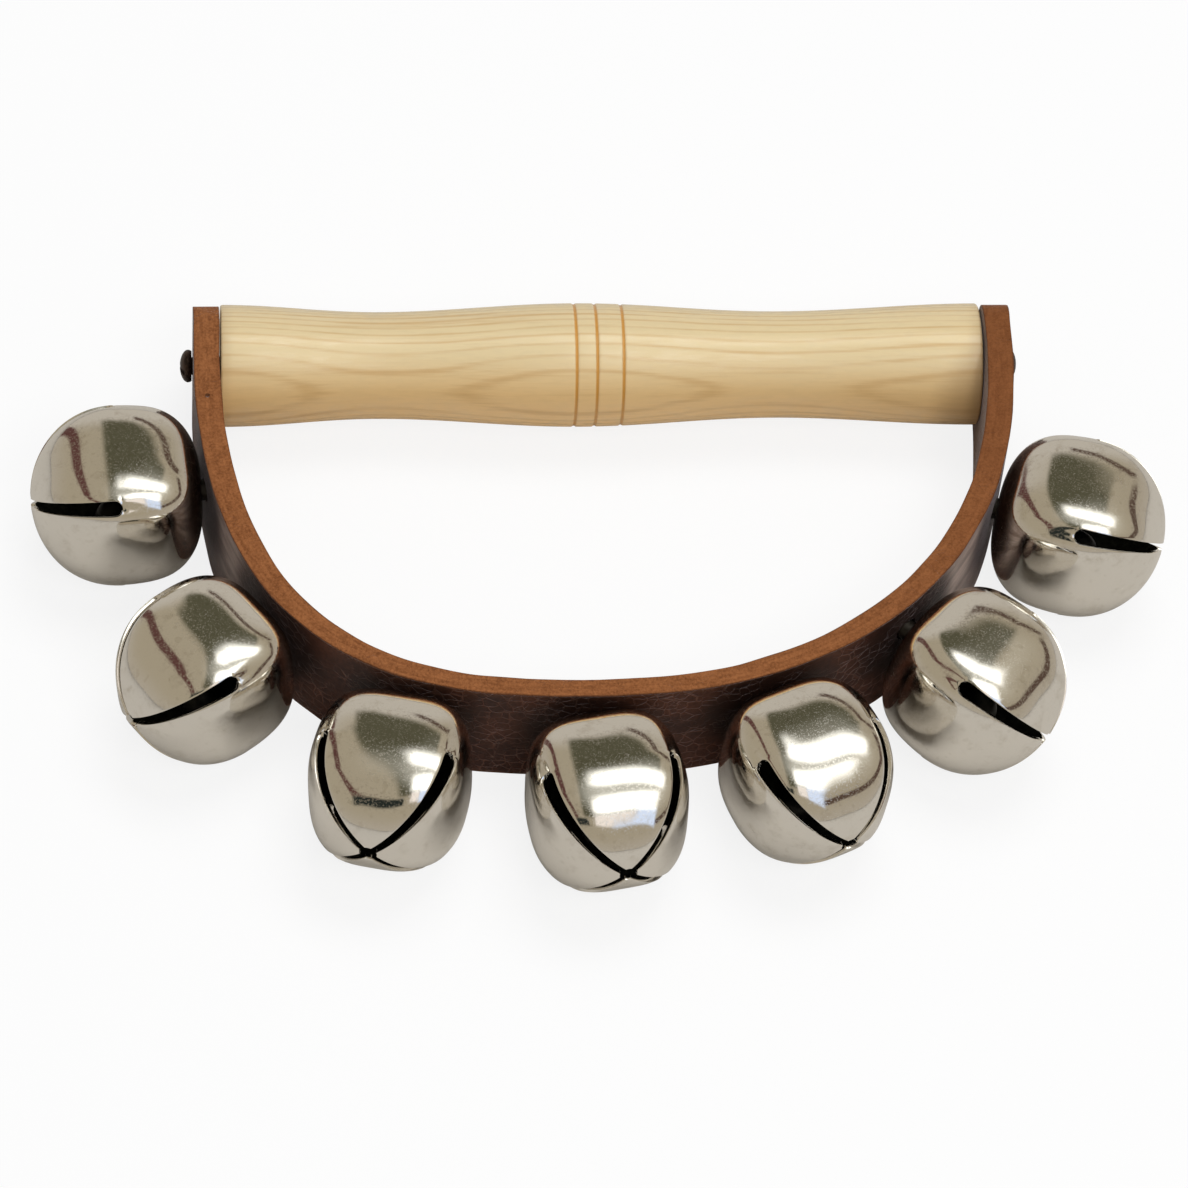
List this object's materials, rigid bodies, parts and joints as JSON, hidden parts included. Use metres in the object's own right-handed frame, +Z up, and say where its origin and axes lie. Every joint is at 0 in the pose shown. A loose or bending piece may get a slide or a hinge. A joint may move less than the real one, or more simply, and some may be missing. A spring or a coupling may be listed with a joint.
{
  "type": "jingle ring",
  "caption": "Hand-held jingle ring: a turned wooden handle closed by a leather bow that carries a row of riveted, slotted bells with loose pellets inside.",
  "frame": {"origin": "on the table, under the middle of the bounding box of the lying ring", "axes": "+X along the handle to the right, +Y from the bells to the handle, +Z up across the strap's width"},
  "size_m": [0.1904, 0.1142, 0.0293],
  "materials": {
    "varnished_wood": "pale turned wood under clear varnish",
    "leather": "dark brown grain side with raw tan cut edges",
    "plated_bell": "bright nickel plate with fine scuffs",
    "steel": "plain steel",
    "dark_screw": "dark browned steel"
  },
  "bodies": {
    "frame": {"handle": "varnished_wood", "strap": "leather", "handle_screw_left": "dark_screw", "handle_screw_right": "dark_screw", "bell_rivet_1": "steel", "rivet_washer_1": "steel", "bell_rivet_2": "steel", "rivet_washer_2": "steel", "bell_rivet_3": "steel", "rivet_washer_3": "steel", "bell_rivet_4": "steel", "rivet_washer_4": "steel", "bell_rivet_5": "steel", "rivet_washer_5": "steel", "bell_rivet_6": "steel", "rivet_washer_6": "steel", "bell_rivet_7": "steel", "rivet_washer_7": "steel"},
    "bell_1": {"bell_shell_1": "plated_bell"},
    "pellet_1": {"bell_pellet_1": "steel"},
    "bell_2": {"bell_shell_2": "plated_bell"},
    "pellet_2": {"bell_pellet_2": "steel"},
    "bell_3": {"bell_shell_3": "plated_bell"},
    "pellet_3": {"bell_pellet_3": "steel"},
    "bell_4": {"bell_shell_4": "plated_bell"},
    "pellet_4": {"bell_pellet_4": "steel"},
    "bell_5": {"bell_shell_5": "plated_bell"},
    "pellet_5": {"bell_pellet_5": "steel"},
    "bell_6": {"bell_shell_6": "plated_bell"},
    "pellet_6": {"bell_pellet_6": "steel"},
    "bell_7": {"bell_shell_7": "plated_bell"},
    "pellet_7": {"bell_pellet_7": "steel"}
  },
  "joints": [
    {"name": "bell_1_swivel", "type": "hinge", "parent": "frame", "child": "bell_1", "pos_m": [-0.08083, 0.0181, 0.01559], "axis": [-0.9977, -0.0651, -0.0174], "continuous": true},
    {"name": "bell_2_swivel", "type": "hinge", "parent": "frame", "child": "bell_2", "pos_m": [-0.06693, -0.01707, 0.01559], "axis": [-0.8095, -0.583, -0.0698], "continuous": true},
    {"name": "bell_3_swivel", "type": "hinge", "parent": "frame", "child": "bell_3", "pos_m": [-0.03671, -0.03838, 0.01559], "axis": [-0.2595, -0.9632, 0.0697], "continuous": true},
    {"name": "bell_4_swivel", "type": "hinge", "parent": "frame", "child": "bell_4", "pos_m": [-0.00104, -0.0426, 0.01559], "axis": [0.1883, -0.9783, 0.0858], "continuous": true},
    {"name": "bell_5_swivel", "type": "hinge", "parent": "frame", "child": "bell_5", "pos_m": [0.03212, -0.03719, 0.01559], "axis": [0.4262, -0.9031, -0.052], "continuous": true},
    {"name": "bell_6_swivel", "type": "hinge", "parent": "frame", "child": "bell_6", "pos_m": [0.06133, -0.02011, 0.01559], "axis": [0.7596, -0.6354, -0.1384], "continuous": true},
    {"name": "bell_7_swivel", "type": "hinge", "parent": "frame", "child": "bell_7", "pos_m": [0.08069, 0.01097, 0.01559], "axis": [0.9662, -0.2574, -0.0174], "continuous": true},
    {"name": "pellet_1_rattle", "type": "slide", "parent": "bell_1", "child": "pellet_1", "axis": [0, 0, 1], "range_m": [0, 0.0154]},
    {"name": "pellet_2_rattle", "type": "slide", "parent": "bell_2", "child": "pellet_2", "axis": [0, 0, 1], "range_m": [0, 0.0154]},
    {"name": "pellet_3_rattle", "type": "slide", "parent": "bell_3", "child": "pellet_3", "axis": [0, 0, 1], "range_m": [0, 0.0154]},
    {"name": "pellet_4_rattle", "type": "slide", "parent": "bell_4", "child": "pellet_4", "axis": [0, 0, 1], "range_m": [0, 0.0154]},
    {"name": "pellet_5_rattle", "type": "slide", "parent": "bell_5", "child": "pellet_5", "axis": [0, 0, 1], "range_m": [0, 0.0154]},
    {"name": "pellet_6_rattle", "type": "slide", "parent": "bell_6", "child": "pellet_6", "axis": [0, 0, 1], "range_m": [0, 0.0154]},
    {"name": "pellet_7_rattle", "type": "slide", "parent": "bell_7", "child": "pellet_7", "axis": [0, 0, 1], "range_m": [0, 0.0154]}
  ]
}
